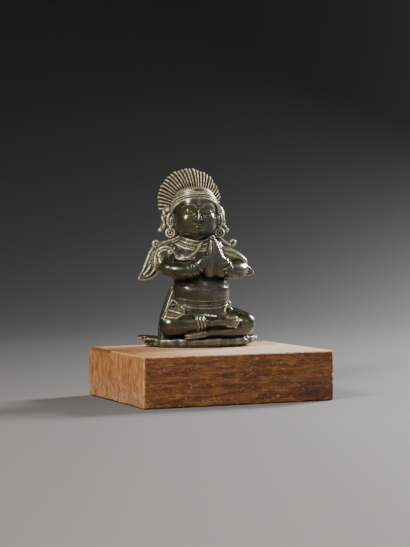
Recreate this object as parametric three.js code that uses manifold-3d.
// A small cast bronze figure of a winged deity, seated cross-legged with its palms together,
// standing on an old worn block of wood.
// Millimetres, +Z up, the figure looks towards -Y, the origin is the middle of the block's underside.
import * as THREE from "three";
import { RoundedBoxGeometry } from "three/addons/geometries/RoundedBoxGeometry.js";
import { mergeVertices } from "three/addons/utils/BufferGeometryUtils.js";
import Module from "manifold-3d";

const wasm = await Module();
wasm.setup();

// Driving dimensions
const BLOCK = { width: 120, depth: 87.75, height: 29.5, edgeRadius: 1.7 };
const FIGURE_PLACE = new THREE.Vector3(4.9, 21.2, BLOCK.height);
const FIGURE_TURN = THREE.MathUtils.degToRad(7); // towards the block's -X end

// Landmarks of the figure, from the middle of its base plate's underside.
// Values with two sides are for the +X side, which is the figure's left.
const PLATE = { halfWidth: 34, halfDepth: 18.5, top: 5.2, undercut: 1.2 };
const HEAD = new THREE.Vector3(-2.7, 6, 81.5);
const HEAD_TURN = THREE.MathUtils.degToRad(6); // towards the figure's right
const SKULL = { x: 14.2, y: 13.8, z: 17.4 };
const FAN = { x: -1.2, y: 10.6, z: 7.2, radius: 19.9, locks: 31, from: -19, to: 199 };
const SHOULDER_MIDDLE = -2.2; // the upper body leans to the figure's right
const LOCKS_MIDDLE = -3.9;
const SHOULDER = { x: 18.4, y: 5, z: 55.6 };
const ELBOW = { x: 22.6, y: -6, z: 46.6 };
const WRIST = { x: 6.4, y: -14.6, z: 46.6 };
const FINGERTIP = { x: 0.8, y: -16.5, z: 67.4 };
const WING_MIDDLE = -1.2;
const WING_TIP = { x: 36, y: 9, z: 40.6 };
const KNEE = { x: 23.2, y: -11, z: 13.6 };
const ANKLE_Z = 13.8;
const WAIST_Z = 27.2;

const X_AXIS = new THREE.Vector3(1, 0, 0);
const Y_AXIS = new THREE.Vector3(0, 1, 0);
const Z_AXIS = new THREE.Vector3(0, 0, 1);
const RIGHT = -1;
const LEFT = 1;
const SIDES = [RIGHT, LEFT];

// Geometry helpers

// A closed geometry from rings of equal length; the ends are closed to a point unless the rings form a loop.
function skin(rings, loop) {
  const n = rings[0].length;
  const points = rings.flat();
  const index = [];
  const bands = loop ? rings.length : rings.length - 1;
  for (let i = 0; i < bands; i++) {
    const here = i * n;
    const next = ((i + 1) % rings.length) * n;
    for (let j = 0; j < n; j++) {
      const k = (j + 1) % n;
      index.push(here + j, here + k, next + k, here + j, next + k, next + j);
    }
  }
  if (!loop) {
    for (const [ring, start, first] of [[rings[0], 0, true], [rings.at(-1), (rings.length - 1) * n, false]]) {
      const middle = ring.reduce((sum, p) => sum.add(p), new THREE.Vector3()).divideScalar(n);
      const tip = points.push(middle) - 1;
      for (let j = 0; j < n; j++) {
        const k = (j + 1) % n;
        index.push(...(first ? [tip, start + k, start + j] : [tip, start + j, start + k]));
      }
    }
  }
  const geometry = new THREE.BufferGeometry().setFromPoints(points);
  geometry.setIndex(index);
  return facingOut(geometry);
}

function signedVolume(position, index) {
  const [a, b, c] = [new THREE.Vector3(), new THREE.Vector3(), new THREE.Vector3()];
  let volume = 0;
  for (let i = 0; i < index.length; i += 3) {
    a.fromBufferAttribute(position, index[i]);
    b.fromBufferAttribute(position, index[i + 1]);
    c.fromBufferAttribute(position, index[i + 2]);
    volume += a.dot(b.cross(c)) / 6;
  }
  return volume;
}

function facingOut(geometry) {
  const index = geometry.index.array;
  if (signedVolume(geometry.attributes.position, index) < 0) {
    for (let i = 0; i < index.length; i += 3) [index[i + 1], index[i + 2]] = [index[i + 2], index[i + 1]];
  }
  return geometry;
}

const circle = (sides) => Array.from({ length: sides }, (_, i) => {
  const angle = ((i + 0.5) / sides) * 2 * Math.PI;
  return [Math.cos(angle), Math.sin(angle)];
});

function ringAt(centre, across, over, a, b, section) {
  return section.map(([u, v]) => centre.clone().addScaledVector(across, a * u).addScaledVector(over, b * v));
}

// A limb: sections along a smooth path. A station is [x, y, z, half-width, half-thickness]; the
// half-width is measured square to the path and to `up`. Round ends get one more, smaller ring each.
function limb(stations, { sides = 8, section = circle(sides), up = Z_AXIS, round = true } = {}) {
  const path = new THREE.CatmullRomCurve3(stations.map(([x, y, z]) => new THREE.Vector3(x, y, z)));
  const girth = stations.map(([, , , a, b]) => new THREE.Vector3(a, b ?? a, 0));
  const sizes = new THREE.CatmullRomCurve3(girth, false, "catmullrom", 0.5);
  const count = stations.length - 1;
  const ring = (t, shift, shrink) => {
    const tangent = path.getTangent(t).normalize();
    const across = new THREE.Vector3().crossVectors(up, tangent).normalize();
    const over = new THREE.Vector3().crossVectors(tangent, across);
    const size = sizes.getPoint(t);
    const centre = path.getPoint(t).addScaledVector(tangent, Math.min(size.x, size.y) * shift);
    return ringAt(centre, across, over, size.x * shrink, size.y * shrink, section);
  };
  const rings = Array.from({ length: count + 1 }, (_, i) => ring(i / count, 0, 1));
  if (round) {
    const [reach, shrink] = [0.72, 0.6];
    rings.unshift(ring(0, -reach, shrink));
    rings.push(ring(1, reach, shrink));
  }
  return skin(rings, false);
}

// Stations of a straight stretch of limb that carries raised bands.
function banded(from, to, radius, rise, count) {
  return Array.from({ length: 2 * count + 1 }, (_, i) => {
    const place = new THREE.Vector3(...from).lerp(new THREE.Vector3(...to), i / (2 * count));
    return [...place.toArray(), i % 2 ? radius + rise : radius];
  });
}

// A ring of square-sided cord on a closed path that point(angle) gives; `axis` is about square to the ring.
function hoop(point, radius, steps, axis = Z_AXIS) {
  const rings = Array.from({ length: steps }, (_, i) => {
    const angle = (i / steps) * 2 * Math.PI;
    const tangent = point(angle + 0.01).sub(point(angle - 0.01)).normalize();
    const out = new THREE.Vector3().crossVectors(tangent, axis).normalize();
    const over = new THREE.Vector3().crossVectors(out, tangent);
    return ringAt(point(angle), out, over, radius, radius, circle(4));
  });
  return skin(rings, true);
}

function ball(x, y, z, rx, ry = rx, rz = rx, around = 10, rows = 7) {
  return new THREE.SphereGeometry(1, around, rows).scale(rx, ry, rz).translate(x, y, z);
}

function onSide(side, stations, middle = 0) {
  return stations.map(([x, ...rest]) => [middle + side * x, ...rest]);
}

function solid(geometry) {
  const bare = geometry.clone();
  for (const name of Object.keys(bare.attributes)) if (name !== "position") bare.deleteAttribute(name);
  const merged = facingOut(mergeVertices(bare, 1e-4));
  return new wasm.Manifold(new wasm.Mesh({
    numProp: 3,
    vertProperties: new Float32Array(merged.attributes.position.array),
    triVerts: new Uint32Array(merged.index.array),
  }));
}

function joined(geometries) {
  return geometries.map(solid).reduce((whole, piece) => whole.add(piece));
}

function geometryOf(manifold) {
  const { vertProperties, triVerts } = manifold.getMesh();
  const geometry = new THREE.BufferGeometry();
  geometry.setAttribute("position", new THREE.BufferAttribute(vertProperties, 3));
  geometry.setIndex(new THREE.BufferAttribute(triVerts, 1));
  return geometry;
}

// The outer skin alone: pockets sealed in between the parts are filled, as in a solid casting, and slivers
// that hang on by one corner are dropped.
function outerSkin(geometry) {
  const welded = mergeVertices(geometry, 1e-3);
  const index = welded.index.array;
  const triangles = [];
  for (let i = 0; i < index.length; i += 3) {
    const corners = [index[i], index[i + 1], index[i + 2]];
    if (new Set(corners).size === 3) triangles.push(corners);
  }
  const parent = triangles.map((_, i) => i);
  const rootOf = (i) => {
    while (parent[i] !== i) i = parent[i];
    return i;
  };
  const firstOnEdge = new Map();
  triangles.forEach((corners, i) => corners.forEach((a, k) => {
    const b = corners[(k + 1) % 3];
    const edge = [Math.min(a, b), Math.max(a, b)].join();
    if (!firstOnEdge.has(edge)) firstOnEdge.set(edge, i);
    parent[rootOf(i)] = rootOf(firstOnEdge.get(edge));
  }));
  const shells = new Map();
  triangles.forEach((corners, i) => {
    const root = rootOf(i);
    if (!shells.has(root)) shells.set(root, []);
    shells.get(root).push(...corners);
  });
  const volume = (shell) => signedVolume(welded.attributes.position, shell);
  const largest = [...shells.values()].reduce((best, shell) => (volume(shell) > volume(best) ? shell : best));
  return welded.setIndex(largest);
}

// The figure's parts, each a list of geometries

// The thin cast plate under the figure. Its uneven rim stands a little clear of the block all round, it is
// bent up at the figure's left end, and at the other end a broken tongue sticks out.
function basePlate() {
  const { halfWidth, halfDepth, top, undercut } = PLATE;
  const slab = skin([-1, -0.93, -0.74, -0.4, 0, 0.4, 0.74, 0.93, 1].map((u, i) => {
    const x = u * halfWidth;
    const reach = halfDepth * Math.sqrt(1.08 - u * u) + (i % 2) * 0.7;
    const bend = 1.5 * Math.max(u, 0) ** 2;
    const high = top + bend + (i % 3) * 0.35 - 0.3;
    return [
      [-reach + 4, bend], [-reach + 0.6, undercut + bend], [-reach, high - 1.4], [-reach + 1.4, high],
      [reach - 1.4, high], [reach, high - 1.4], [reach - 0.6, undercut + bend], [reach - 4, bend],
    ].map(([y, z]) => new THREE.Vector3(x, y - 1, z));
  }), false);
  const tongue = limb([[-29, 0, 4.6, 8.5, 1.9], [-35, 1, 5.2, 7.4, 1.8], [-39.4, 2, 5.5, 5.4, 1.5]],
    { sides: 6, round: false });
  return [slab, tongue];
}

function torso() {
  const trunk = limb([
    [0, 2, 4.2, 21, 13], [0, 2, 13, 21.4, 13.6], [0, 2, 20, 19.4, 12.8], [0, 2, 26, 17.4, 12.4],
    [0, 0.8, 32.5, 17.4, 12.8], [0, 1.4, 38, 16.8, 11.8], [-0.7, 3, 44, 16.4, 10.6],
    [-1.4, 4.4, 51, 18, 10], [-1.9, 5.4, 56.5, 18.4, 8.6], [-2.3, 6.2, 60.2, 13.6, 7.4],
    [-2.6, 6.4, 63, 8.4, 6.6], [-2.7, 6, 68.5, 6.8, 6.2],
  ], { sides: 12, up: Y_AXIS, round: false });
  const lap = ball(0, -8, 11, 20, 8.5, 7.2, 10, 5);
  const chest = SIDES.map((side) => ball(side * 8 - 1.4, -1.4, 53, 7, 4.6, 5, 8, 5));
  return [trunk, lap, ...chest];
}

function belt() {
  const girdle = (z, drop, grow) => (angle) => new THREE.Vector3(
    (17.5 + grow) * Math.cos(angle), 1.6 + (12.4 + grow) * Math.sin(angle), z + drop * Math.sin(angle));
  return [
    hoop(girdle(WAIST_Z + 2.6, 2, 0), 0.8, 14),
    hoop(girdle(WAIST_Z, 2.2, 0.4), 1.1, 14),
  ];
}

function necklaces() {
  const strand = (rx, y, ry, z, drop) => (angle) => new THREE.Vector3(
    SHOULDER_MIDDLE + rx * Math.cos(angle), y + ry * Math.sin(angle), z + drop * Math.sin(angle));
  const strands = [
    hoop(strand(9.2, 6.6, 8.2, 62.2, 1.6), 0.9, 10),
    hoop(strand(12.2, 6.2, 9.8, 60.6, 2.6), 0.9, 12),
    hoop(strand(14.8, 6, 11.4, 59, 4.2), 1, 12),
  ];
  const chestBand = limb(SIDES.flatMap((side) => onSide(side, [
    [15.6, -1.8, 57.2, 1], [14, -5, 52.8, 1], [7.6, -7, 49.4, 1],
  ], SHOULDER_MIDDLE).sort((a, b) => a[0] - b[0])), { sides: 4, round: false });
  return [...strands, chestBand];
}

function arm(side) {
  const armletTop = [SHOULDER.x + 2.2, SHOULDER.y - 1, SHOULDER.z - 1.4];
  const armletFoot = [SHOULDER.x + 3, SHOULDER.y - 3, SHOULDER.z - 3.4];
  const upperArm = limb([
    ...onSide(side, [[SHOULDER.x - 2, SHOULDER.y + 0.6, SHOULDER.z + 0.4, 6]], SHOULDER_MIDDLE),
    ...onSide(side, banded(armletTop, armletFoot, 5.9, 0.8, 1), SHOULDER_MIDDLE / 2),
    ...onSide(side, [[ELBOW.x + 0.2, ELBOW.y + 5, ELBOW.z + 3.6, 5.6], [ELBOW.x, ELBOW.y, ELBOW.z, 5]]),
  ], { sides: 8, up: X_AXIS });
  const forearm = limb(onSide(side, [
    [ELBOW.x, ELBOW.y + 0.4, ELBOW.z, 5.1], [ELBOW.x - 6, ELBOW.y - 4, ELBOW.z + 0.2, 4.9],
    ...banded([WRIST.x + 6.2, WRIST.y + 2, WRIST.z + 0.1], [WRIST.x, WRIST.y, WRIST.z], 3.9, 0.9, 3),
    [WRIST.x - 2, WRIST.y - 0.8, WRIST.z, 3.7],
  ]), { sides: 8 });
  return [upperArm, forearm];
}

function hand(side) {
  const { x, y, z } = FINGERTIP;
  const palm = limb(onSide(side, [
    [4.4, y + 1, 43.6, 4.2, 2.6], [4, y + 0.6, 48, 4.9, 3.2], [2.8, y + 0.3, 54, 4.7, 2.5],
    [1.8, y + 0.1, 60, 3.8, 1.8], [x, y, z - 0.8, 1.6, 0.8],
  ]), { sides: 6, up: X_AXIS, round: false });
  const fingers = [-1.5, -0.5, 0.5, 1.5].map((place) => limb(onSide(side, [
    [6.4, y + 1 + place * 2.2, 46.6, 1.4], [5.1, y + 0.4 + place * 2.3, 53, 1.5],
    [3.2, y + 0.1 + place * 1.8, 60, 1.3], [x + 0.3, y + place * 0.9, z - 0.6 * Math.abs(place), 0.8],
  ]), { sides: 4, up: X_AXIS, round: false }));
  const thumb = limb(onSide(side, [
    [3.6, y + 4.8, 48.4, 1.6], [2.6, y + 5.2, 53.4, 1.5], [1.4, y + 4.6, 58.4, 1],
  ]), { sides: 4, up: X_AXIS, round: false });
  return [palm, ...fingers, thumb];
}

// A leaf-shaped wing behind the arm; its section is a thin blade with raised rims on its front.
function wing(side) {
  const section = [
    [-1, 0], [-0.86, -1], [-0.68, -0.5], [0.68, -0.5], [0.86, -1], [1, 0], [0.6, 0.9], [-0.6, 0.9],
  ];
  const lift = side === LEFT ? 3 : 0;
  return [limb(onSide(side, [
    [9, 10.6, 58, 4, 2], [18.4, 12, 59, 4.6, 2.1], [24.8, 11, 55.4, 4.7, 2.2],
    [26.8, 10, 50 + lift * 0.3, 4.8, 2.2], [29, 9.4, 45.4 + lift * 0.6, 4.3, 2.1],
    [33.2, 9.2, 42.2 + lift, 2.7, 1.7], [WING_TIP.x, WING_TIP.y, WING_TIP.z + lift, 1, 1],
  ], WING_MIDDLE), { section, up: Y_AXIS, round: false })];
}

// A lock of hair along the shoulder that curls up at its outer end.
function shoulderLock(side) {
  return [limb(onSide(side, [
    [9, 9.4, 65, 1.8], [14, 8.6, 62.6, 2], [18.8, 8.2, 60.4, 1.9], [22.6, 8, 60, 1.7],
    [24.4, 8, 61.8, 1.5], [23.2, 8, 63.8, 1.3], [21.2, 8, 63.2, 1.1], [21.4, 8, 61.8, 0.9],
  ], LOCKS_MIDDLE), { sides: 5, up: Y_AXIS, round: false })];
}

// The cloth end that falls beside each hip to the plate, and the curled end of the belt's knot.
function hipSash(side) {
  const [inward, back] = side === LEFT ? [3.4, 4] : [0, 0];
  const clothEnd = [
    [16, 6, 35, 1.6, 3.4], [18.6, 6.4, 28, 2, 4], [21.4, 6, 19.5, 2.2, 4.4],
    [23.4, 5, 10, 2.2, 4.4], [23.8, 4.4, 4.4, 2.2, 4.2],
  ].map(([x, y, ...rest]) => [x - inward, y + back, ...rest]);
  const knotEnd = [
    [12.6, -8.2, 28.4, 1.5], [14.8, -8.6, 25.8, 1.5], [16, -8.6, 23.2, 1.4], [17.4, -8, 24.4, 1.1],
  ];
  return [
    limb(onSide(side, clothEnd), { sides: 6, up: Y_AXIS, round: false }),
    limb(onSide(side, knotEnd), { sides: 4, up: Y_AXIS, round: false }),
  ];
}

function thigh(side) {
  const { x, y, z } = KNEE;
  return limb(onSide(side, [
    [8, 2.4, 15, 10, 8.8], [15.6, -2.8, 15, 9.4, 8.6], [x - 2, y + 3, z + 0.6, 7.8, 7.5], [x, y, z, 6.9, 6.9],
  ]), { sides: 10 });
}

function legs() {
  const { x, y, z } = KNEE;
  // The right leg lies in front, its foot on the left calf.
  const rightShin = limb([
    [-x + 0.8, y - 1, z - 0.2, 6.7, 6.4], [-16.4, -14.8, 13.2, 6, 5.9],
    ...banded([-9.8, -17, 13.4], [-3, -17.6, ANKLE_Z], 4.6, 0.9, 3), [2, -17.8, ANKLE_Z, 4.1, 4.3],
  ], { sides: 8 });
  const rightFoot = limb([
    [0, -17.8, ANKLE_Z, 4, 4.3], [7, -18, ANKLE_Z + 0.1, 3.2, 4.4],
    [11.6, -17.8, ANKLE_Z + 0.1, 2.6, 4.2], [14.4, -17.4, ANKLE_Z + 0.1, 2, 3.9],
  ], { sides: 8, round: false });
  const rightToes = Array.from({ length: 5 }, (_, i) => limb([
    [12.4, -18.9, 16.6 - i * 1.4, 1.1, 0.9], [18.4 - i * 0.4, -18.2, 16.7 - i * 1.4, 0.9, 0.8],
  ], { sides: 4, round: false }));
  const leftShin = limb([
    [x - 0.8, y - 0.6, 11.4, 6.2, 5.6], [13, -14, 10, 5.4, 4.6],
    [2, -14.6, 9.2, 4.9, 4.1], [-6, -15.4, 8.4, 4.2, 3.4],
  ], { sides: 8 });
  const leftFoot = limb([
    [-5, -16, 8.2, 4.2, 3], [-10.6, -17.4, 7.4, 3.2, 2.4], [-14.4, -18.2, 6.8, 2.4, 1.8],
  ], { sides: 6 });
  return [...SIDES.map(thigh), rightShin, rightFoot, ...rightToes, leftShin, leftFoot];
}

// The head's parts are drawn about its middle, facing -Y, then turned and moved to the neck.

function face() {
  const skull = limb([
    [0, -3.6, -14.4, 5, 4.6], [0, -2, -12, 9.4, 8.6], [0, -0.8, -7.6, 12.6, 11.4], [0, 0, -1, 13.6, 12.6],
    [0, 0, 5, 13.4, 12.8], [0, 0, 9.5, 11.4, 11],
  ], { sides: 14, up: Y_AXIS, round: false });
  const nose = limb([[0, -12.2, 0.8, 1, 0.9], [0, -13.2, -3, 1.2, 1.2], [0, -13.4, -5.8, 1.9, 1.5]],
    { sides: 5, up: Y_AXIS });
  const lips = ball(0, -9.8, -9.4, 2.9, 2, 1.3, 8, 4);
  const eyes = SIDES.map((side) => ball(side * 5, -11, -1.4, 2.9, 1.3, 1.5, 7, 4));
  return [skull, nose, lips, ...eyes];
}

// A closed line round the skull, level or arched over the forehead and down to the ears.
function capLine(height, grow, arch) {
  const [rx, ry, rz] = [SKULL.x + grow, SKULL.y + grow, SKULL.z + grow];
  return circle(16).map(([c, s]) => {
    const fromFront = Math.min(Math.abs(Math.atan2(c, -s)) / (Math.PI / 2), 1);
    const z = height - arch * fromFront ** 2.5;
    const shrink = Math.sqrt(Math.max(1 - (z / rz) ** 2, 0));
    return new THREE.Vector3(rx * c * shrink, ry * s * shrink, z);
  });
}

// A round cap with three raised bands round its edge.
function cap() {
  const [arch, firstBand, pitch] = [10.5, 8, 1.6];
  const bands = [0, 1, 2].flatMap((i) => [[0, 0.2], [0.6, 1.1], [1.2, 0.2]]
    .map(([up, grow]) => capLine(firstBand + i * pitch + up, grow, arch)));
  const dome = [[13.8, 6.5], [15.2, 3.5], [16.4, 1.4], [17.2, 0.3]]
    .map(([height, drop]) => capLine(height, 0, drop));
  return skin([capLine(firstBand, -2.5, arch), ...bands, ...dome], false);
}

// The sunburst of locks behind the cap: one pleated band, whose crests stand forward and reach further out.
function hairFan() {
  const { x, y, z, radius, locks, from, to } = FAN;
  const pleat = (angle, crest) => {
    const swirl = THREE.MathUtils.degToRad(2.5);
    const spot = (r, depth, turn) => {
      const at = THREE.MathUtils.degToRad(angle) + turn * swirl;
      return new THREE.Vector3(x + r * Math.cos(at), depth, z + r * Math.sin(at));
    };
    return [
      spot(3, y - 3, 0), spot(13, y - 3.4 - crest, 1), spot(radius - 1 + crest, y - 1.2 - 0.8 * crest, -0.5),
      spot(radius - 1.6 + crest, y + 1.2, -0.5), spot(3, y + 2.2, 0),
    ];
  };
  const pitch = (to - from) / (2 * locks);
  return skin(Array.from({ length: 2 * locks + 1 }, (_, i) => pleat(from + i * pitch, i % 2)), false);
}

function earAndRing(side) {
  const oval = (x, y, z, rx, rz) => (angle) => new THREE.Vector3(
    x + rx * Math.cos(angle), y, z + rz * Math.sin(angle));
  const ear = hoop(oval(side * 14.6, -0.4, -6.2, 1.9, 3.4), 1.2, 8, Y_AXIS);
  const ring = hoop(oval(side * 15.2, -1.2, -13.2, 2.4, 2.4), 1.1, 8, Y_AXIS);
  const boss = ball(side * 15.2, -1, -13.2, 2, 1.2, 2, 6, 4);
  const lock = limb(onSide(side, [
    [15.6, 5, -0.4, 1.8], [17.4, 4.6, -5, 1.3], [18, 4, -9.4, 1.1], [19.6, 3.6, -11.6, 1.5],
  ]), { sides: 5 });
  return [ear, ring, boss, lock];
}

function napeHair() {
  return limb([
    [0, 8.4, 7, 11.5, 5.5], [0, 8.2, 1, 14.6, 5.5], [0.3, 8, -6, 12.8, 4.8],
    [0.5, 7.2, -13, 10.5, 4.2], [0.8, 6, -20, 8.4, 3.8],
  ], { sides: 10, up: Y_AXIS });
}

function head() {
  const parts = [...face(), cap(), hairFan(), ...SIDES.flatMap(earAndRing), napeHair()];
  return parts.map((part) => part.rotateZ(-HEAD_TURN).translate(HEAD.x, HEAD.y, HEAD.z));
}

function figure() {
  const pairedParts = [arm, hand, wing, shoulderLock, hipSash];
  const parts = [
    ...basePlate(), ...torso(), ...belt(), ...necklaces(), ...legs(), ...head(),
    ...SIDES.flatMap((side) => pairedParts.flatMap((part) => part(side))),
  ];
  const bronze = new THREE.MeshStandardMaterial({ color: 0x4a3d26, roughness: 0.38, metalness: 0.9 });
  const mesh = new THREE.Mesh(outerSkin(geometryOf(joined(parts))), bronze);
  mesh.name = "bronze_figure";
  mesh.rotation.z = -FIGURE_TURN;
  mesh.position.copy(FIGURE_PLACE);
  return mesh;
}

// The block: an old offcut with rounded edges and a splintered corner.
function woodenPlinth() {
  const { width, depth, height, edgeRadius } = BLOCK;
  const body = solid(new RoundedBoxGeometry(width, depth, height, 1, edgeRadius).translate(0, 0, height / 2));
  const splinter = new THREE.BoxGeometry(9, 60, 6).rotateY(-0.5).rotateZ(0.08)
    .translate(-width / 2 - 1.2, depth / 2 - 18, height + 1.6);
  const wood = new THREE.MeshStandardMaterial({ color: 0x9a6638, roughness: 0.75, metalness: 0 });
  const mesh = new THREE.Mesh(geometryOf(body.subtract(solid(splinter))), wood);
  mesh.name = "wooden_plinth";
  return mesh;
}

const model = new THREE.Group();
model.add(woodenPlinth(), figure());

export default model;
